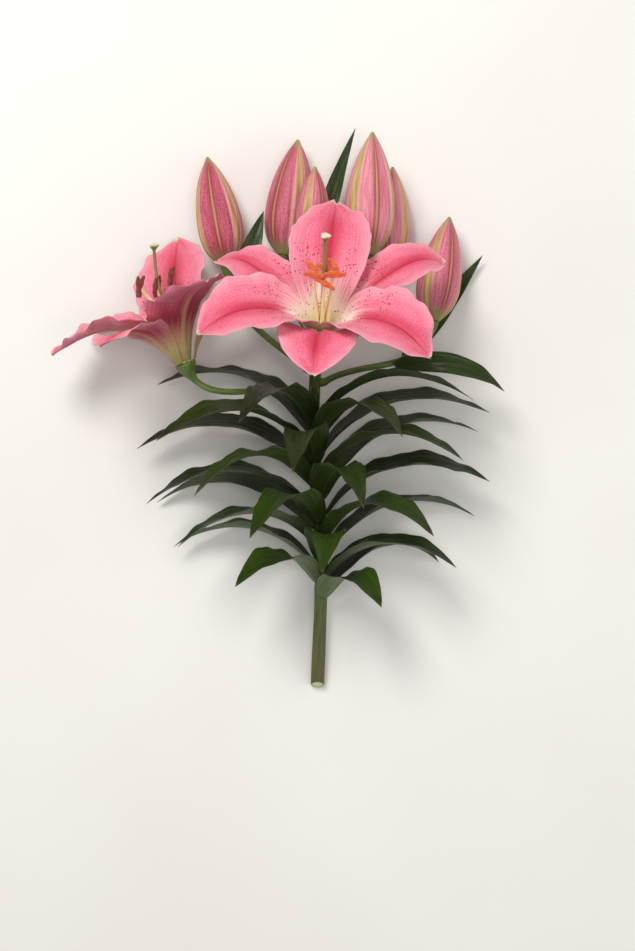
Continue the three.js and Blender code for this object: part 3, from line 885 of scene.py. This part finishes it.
def stem_surface(u, turns):
    """The stem's radius: shallow ridges, a swelling and a ridge below each leaf, and rounded rims."""
    swelling, swelling_reach = 0.45, 0.008
    ridge_height, ridge_reach = 0.28, 0.09
    foot_rim, top_rim, rim_size = 0.003, 0.006, 0.93
    angle = 360 * turns - 90  # from straight up, as the leaves' angles are
    r = stem_radius(u) * (1 + 0.012 * np.cos(2 * np.pi * turns * 9 + 6 * u) + 0.02 * math.sin(23 * u))
    for height, where in leaf_feet:
        at = height / stem_curve.length
        apart = (angle - where + 180) % 360 - 180
        swell = swelling * math.exp(-(((u - at) / swelling_reach) ** 2))
        ridge = ridge_height * float(smoothstep(at - ridge_reach, at, u)) * (1 if u < at else 0)
        r = r + (swell * np.exp(-((apart / 48) ** 2)) + ridge * np.exp(-((apart / 15) ** 2)))
    rim = min(u / foot_rim, (1 - u) / top_rim, 1)
    return r * lerp(rim_size, 1, math.sqrt(max(rim, 0)))


stem_girth = np.array([2 * np.pi * stem_radius(u) for u in STEM_SHARES])
stem = rod_piece(
    "lily_stem", stem_curve, stem_surface, ROUND["stem"], STEM_SHARES, STEM_SKIN, stem_girth,
    slope=STEM["slope"],
)
stands_for(stem, "stem")


def cut_face():
    """A slightly dished disc a hair in front of the stem's end."""
    inset, ahead, dish, behind = 0.97, 0.45, 0.3, 0.4
    ring = rod_rings(stem_curve, stem_surface, ROUND["stem"], STEM_SHARES[:1], STEM["slope"])[0]
    middle = ring.mean(0)
    back = -stem_curve.tangent(0.0)
    shares = np.array([0.02, 0.3, 0.6, 0.8, 0.93, 1.0])
    rings = [middle + (ring - middle) * inset * s + back * (ahead - dish * (1 - s**2)) for s in shares]
    rings += [middle + (ring - middle) * inset * s - back * behind for s in shares[::-1]]
    turns = np.arange(ROUND["stem"] + 1) / ROUND["stem"]
    both = np.concatenate([shares, shares[::-1]])
    disc = skin("lily_stem_cut", np.array(rings), turns, both, [CUT_FACE], (6, 10))
    stands_for(disc, "stem")


cut_face()


# ---- stalks ----
stalks = {}


def stalk_piece(head, base, face, tip_radius):
    """A stalk in a curve from the stem to a head, widening where it holds it."""
    centre, axis, radius = stem_at(stem_curve.length - head["below"])
    out = outward(axis, head["angle"])
    start = centre + out * (radius + STALK["radius"] + GAP)
    end = base - face * GAP
    span = np.linalg.norm(start - end)
    curve = bezier(start, start + out * 0.3 * span + axis * 0.2 * span, end - face * 0.45 * span, end)
    stalks[head["name"]] = curve
    foot = centre + out * radius * 0.7
    grown = Curve(lambda t: along([foot, *curve.at(np.linspace(0, 1, 24))], t))

    def radius_at(u, turns):
        swell = lerp(STALK["radius"], tip_radius, smoothstep(0.8, 1, u) ** 2)
        socket = 1.3 * np.exp(-((u / 0.05) ** 2))
        ridges = 0.05 * np.cos(2 * np.pi * turns * 3) + 0.02 * np.cos(2 * np.pi * turns * 7 + 9 * u)
        return (swell + socket) * (1 + ridges)

    shares = np.linspace(0, 1, 70)
    name = f"stalk_{head['name']}"
    girth = 2 * np.pi * STALK["radius"]
    piece = rod_piece(f"lily_{name}", grown, radius_at, ROUND["stalk"], shares, STALK_SKIN, girth)
    stands_for(piece, name)


# ---- flowers ----
TEPAL_SHARES = np.concatenate([np.linspace(0, 0.94, 84), np.linspace(0.945, 0.9985, 16)])


def tepal_width(u):
    return along([0.16, 0.36, 0.6, 0.83, 0.97, 1, 0.9, 0.62, 0.05], u)


def inner_cup(u):
    return along([0.5, 0.62, 0.42, 0.24, 0.16, 0.12], u)


def outer_cup(u):
    return along([0.3, 0.3, 0.2, 0.1, 0.1, 0.1], u)


def tepal_detail(seed, length, inner):
    """A tepal's sunk midrib between two folds, and the ruffles of its edges, deeper on an inner one."""
    rng = np.random.default_rng(seed)
    phases = rng.uniform(0, 2 * np.pi, 8)
    depth = rng.uniform(1.5, 2.2) if inner else rng.uniform(1.0, 1.5)
    waves = rng.uniform(26, 34), rng.uniform(11, 14)
    channel_depth, channel_width = 1.7, 2.2
    fold_height, fold_from_rib, fold_width = 0.9, 4.6, 2.6
    twist, tip_curl = 1.6, 2.2

    def detail(u, v, half):
        distance = v * half
        side = np.where(v > 0, phases[0], phases[1])
        channel = -channel_depth * np.exp(-((distance / channel_width) ** 2))
        channel = channel * smoothstep(0.02, 0.2, u) * smoothstep(1, 0.85, u)
        folds = fold_height * np.exp(-(((np.abs(distance) - fold_from_rib) / fold_width) ** 2))
        folds = folds * smoothstep(0.1, 0.3, u) * smoothstep(0.98, 0.6, u)
        at = 2 * np.pi * u * length
        ruffle = np.sin(at / waves[0] + side) + 0.45 * np.sin(at / waves[1] + 2.3 * side)
        where = smoothstep(0.2, 0.48, u) * smoothstep(1.0, 0.86, u)
        lift = channel + folds + depth * ruffle * np.abs(v) ** 2.6 * where
        lift = lift + twist * np.sin(2 * np.pi * u * 1.3 + phases[2]) * v * smoothstep(0.3, 0.7, u)
        lift = lift + tip_curl * v**2 * smoothstep(0.9, 1, u)
        spread = 1 + 0.01 * np.sin(at / waves[1] + side + 1.2) * where
        return lift, spread

    return detail


def directions_across(axis):
    """A level direction across an axis, and the one across both."""
    level = X.copy() if axis[2] > 0.5 else -X
    level = unit(level - axis * (level @ axis))
    return level, unit(np.cross(axis, level))


def stamens(flower, base, axis, level, upright):
    """Six tapering filaments, and on each a two-lobed anther."""
    filament_foot, filament_tip, anther_radius = 2.5, 1.0, 2.8
    name, fan, half = flower["name"], flower["fan"], STAMEN["anther"] / 2
    filaments, anthers = [], []
    shares = np.linspace(0, 1, 40)
    for k in range(6):
        turn = math.radians(60 * k + 30)
        out = level * math.cos(turn) + upright * math.sin(turn)
        around = np.cross(axis, out)
        reach = STAMEN["length"] * (1 + 0.04 * math.cos(2.4 * k))
        foot = STAMEN["foot"]

        def at(r, h):
            return base + out * r + axis * h

        def taper(u, turns):
            return lerp(filament_foot, filament_tip, u**0.8)

        def lobes(u, turns):
            round_end = np.maximum(np.sin(np.pi * np.clip(u, 0.001, 0.999)), 0) ** 0.45
            groove = 1 - 0.34 * np.abs(np.cos(2 * np.pi * turns)) ** 8
            lumps = 1 + 0.1 * np.sin(19 * u + 3 * k)
            return anther_radius * (0.12 + 0.88 * round_end) * groove * lumps

        line = through(at(foot, 0), at(foot + 1, reach * 0.35), at(foot + 4, reach * 0.7), at(fan, reach))
        filaments.append(rod_piece(f"filament_{k}", line, taper, ROUND["filament"], shares, FILAMENT, 6))
        flat = around * math.cos(0.9 * k) + out * math.sin(0.9 * k) + axis * 0.3 * (-1) ** k
        lie = unit(flat * flower["across"] + axis * (1 - flower["across"]))
        tip, arch, near = at(fan, reach), axis * 1.5, lie * half / 3
        spine = bezier(tip - lie * half, tip - near + arch, tip + near + arch, tip + lie * half)
        ripe = 0.0 if name == "front" else 1.0
        anthers.append(rod_piece(f"anther_{k}", spine, lobes, ROUND["anther"], shares, ANTHER, 13, tint=ripe))
    stands_for(joined(f"lily_filaments_{name}", filaments), f"stamens_{name}")
    stands_for(joined(f"lily_anthers_{name}", anthers), f"stamens_{name}")


def pistil(name, base, axis, lift):
    """A grooved ovary, a long style and a stigma of three rounded lobes."""
    ovary_radius, style_radius, stigma_radius = 2.4, 1.25, 3.7

    def at(share, rise):
        return base + axis * PISTIL["length"] * share + lift * rise

    curve = through(at(0.005, 0), at(0.35, 0), at(0.7, 2), at(1, 9))
    ovary = PISTIL["ovary"] / PISTIL["length"]
    shares = np.concatenate([np.linspace(0, 0.9, 60), np.linspace(0.905, 1, 24)])

    def radius_at(u, turns):
        waist = smoothstep(ovary * 0.8, ovary * 1.3, u)
        lobed = 1 + (0.1 * (1 - waist) + 0.26 * smoothstep(0.94, 0.985, u)) * np.cos(2 * np.pi * turns * 3)
        head = smoothstep(0.93, 0.975, u) * math.sqrt(max(1 - smoothstep(0.982, 1.003, u), 0.02))
        closing = 1 if u < 0.982 else lerp(1, 0.35, (u - 0.982) / 0.018)
        return lerp(lerp(ovary_radius, style_radius, waist), stigma_radius, head) * lobed * closing

    piece = rod_piece(f"lily_pistil_{name}", curve, radius_at, ROUND["pistil"], shares, PISTIL_SKIN, 12)
    stands_for(piece, f"pistil_{name}")


for flower in FLOWERS:
    name, base, axis = flower["name"], flower["base"] + HEAD, unit(flower["face"])
    level, upright = directions_across(axis)
    stalk_piece(flower, base, axis, STALK["flower"])
    for k, tepal in enumerate(flower["tepals"]):
        turn = math.radians(tepal["turn"])
        inner = k % 2 == 0
        out = level * math.cos(turn) + upright * math.sin(turn)
        length = TEPAL["length"] * tepal["size"]
        track = blade_track(
            base=base + out * TEPAL["inner_foot" if inner else "outer_foot"] + axis * (1.2 if inner else 0.4),
            out=out,
            axis=axis,
            length=length,
            width=TEPAL["inner" if inner else "outer"] * tepal.get("wide", 1),
            bend=tepal["bend"],
            width_at=tepal_width,
            thick=TEPAL["thick"],
        )
        seed = 10 * (k + 1) + (name == "side")
        cup = inner_cup if inner else outer_cup
        detail = tepal_detail(seed, length, inner)
        rings, v, half = blade_rings(track, TEPAL_SHARES, ACROSS["tepal"], cup, detail, TEPAL["thick"] * 0.7)
        node = f"tepal_{name}_{k + 1}"
        piece = skin(
            f"lily_{node}", rings, v, TEPAL_SHARES, TEPAL_SIDES, (half, length),
            split=ACROSS["tepal"], tint=tepal.get("tint", flower["tint"]),
        )
        stands_for(piece, node)
    stamens(flower, base, axis, level, upright)
    pistil(name, base, axis, upright if name == "front" else -level)


# ---- buds ----
BUD_SHARES = np.concatenate([np.linspace(0, 0.9, 90), np.linspace(0.905, 1, 24)])


def bud_profile(u):
    """A bud's radius by share of its length, as a share of its full radius."""
    return max(float(along([0.3, 0.76, 0.96, 1, 0.95, 0.84, 0.66, 0.4, 0.05], u)), 0.05)


for bud in BUDS:
    base = bud["base"] + HEAD
    axis = unit(bud["tip"] - bud["base"])
    stalk_piece(bud, base, axis, STALK["bud"])
    end = base + axis * BUD["length"] * bud["size"]
    line = through(base, lerp(base, end, 0.5), end)
    full = BUD["radius"] * bud["size"]

    def bud_radius(u, turns):
        """Three broad outer tepals, each with a fine rib, over three keels that stand between their edges."""
        where = (turns + bud["roll"] + 0.05 * u) * 3
        seam = 2 * np.abs(where - np.round(where))  # 0 on a rib, 1 on a keel
        r = full * bud_profile(u) * (1 + 0.02 * np.cos(2 * np.pi * where))
        fade = float(smoothstep(0.0, 0.12, u) * smoothstep(1.0, 0.8, u))
        rib = 0.35 * np.exp(-((seam / 0.05) ** 2)) - 0.3 * np.exp(-(((seam - 0.11) / 0.05) ** 2))
        overlap = -0.9 * smoothstep(0.7, 0.78, seam)
        keel = 1.5 * smoothstep(0.8, 1.0, seam)
        return r + (rib + overlap + keel) * fade * (0.4 + 0.6 * bud_profile(u)) * bud["size"]

    girth = np.array([2 * np.pi * full * bud_profile(u) for u in BUD_SHARES])
    name = f"bud_{bud['name']}"
    piece = rod_piece(
        f"lily_{name}", line, bud_radius, ROUND["bud"], BUD_SHARES, BUD_SKIN, girth,
        roll=bud["roll"], tint=bud["pale"],
    )
    stands_for(piece, name)


# ---- bracts ----
for number, bract in enumerate(BRACTS):
    out = unit(bract["out"])
    clear = unit(bract["side"]) * (STALK["radius"] + GAP + 2 * LEAF["thick"])
    spec = dict(
        base=stalks[bract["on"]].at(bract["share"]) + clear,
        out=out,
        axis=unit(Z - out * out[2]),
        length=BRACT["length"] * bract["size"],
        width=BRACT["width"],
        bend=bract["bend"],
        sweep=bract["sweep"],
        width_at=lanceolate(LEAF["peak"], BRACT["foot"]),
    )
    node = f"bract_{number + 1}"
    leaf_piece(f"lily_{node}", node, spec, 200 + number, 0.45)


# ---- table, lights and camera ----
def table_material():
    """A matt off-white table top, a little cloudy and fine-grained."""
    s = Shader("table_top")
    ground = s.add("ShaderNodeTexCoord").outputs["Object"]
    cloud = s.noise(ground, 3.0, 3.0)
    colour = s.mix(s.step(cloud, 0.3, 0.7), "#eeece8", "#f3f2ef")
    s.bump((s.noise(ground, 400.0, 2.0), 0.05))
    return s.finish(colour, s.step(cloud, 0.2, 0.8, 0.55, 0.65))


bpy.ops.mesh.primitive_plane_add(size=60, location=(0, 0, 0))
table = bpy.context.object
table.name = "table"
table.data.materials.append(table_material())

VIEW_MIDDLE = vec(0, 172, 60)
VIEW_HEIGHT = 760.8  # what the picture takes in from top to bottom, at its middle
LENS, SENSOR = 85, 36

distance = VIEW_HEIGHT * MM / 2 / (SENSOR / 2 / LENS)
camera = bpy.data.objects.new("camera", bpy.data.cameras.new("camera"))
bpy.context.scene.collection.objects.link(camera)
camera.data.lens = LENS
camera.data.sensor_width = SENSOR
camera.data.clip_end = 20
camera.location = (VIEW_MIDDLE + SHIFT) * MM + vec(0, 0, distance)
bpy.context.scene.camera = camera


def softbox(name, place, size, power, colour):
    """A round lamp in metres and watts, aimed at the middle of the table."""
    light = bpy.data.objects.new(name, bpy.data.lights.new(name, "AREA"))
    light.data.shape = "DISK"
    light.data.size = size
    light.data.energy = power
    light.data.color = colour
    light.location = place
    aim = table.location - light.location
    light.rotation_euler = aim.to_track_quat("-Z", "Y").to_euler()
    bpy.context.scene.collection.objects.link(light)


softbox("key", place=(-0.4, 0.8, 1.4), size=0.6, power=15.5, colour=(1.0, 0.975, 0.93))
softbox("front", place=(0.3, -0.1, 1.9), size=0.8, power=6, colour=(1.0, 0.98, 0.95))
softbox("fill", place=(1.4, -0.6, 1.0), size=1.4, power=5, colour=(1.0, 0.99, 0.97))
softbox("low", place=(-1.2, -1.2, 0.7), size=1.2, power=3, colour=(1.0, 0.99, 0.97))

world = bpy.data.worlds.new("studio")
world.use_nodes = True
world.node_tree.nodes["Background"].inputs[0].default_value = (1.0, 0.99, 0.97, 1.0)
world.node_tree.nodes["Background"].inputs[1].default_value = 0.38
bpy.context.scene.world = world
bpy.context.scene.view_settings.view_transform = "Standard"
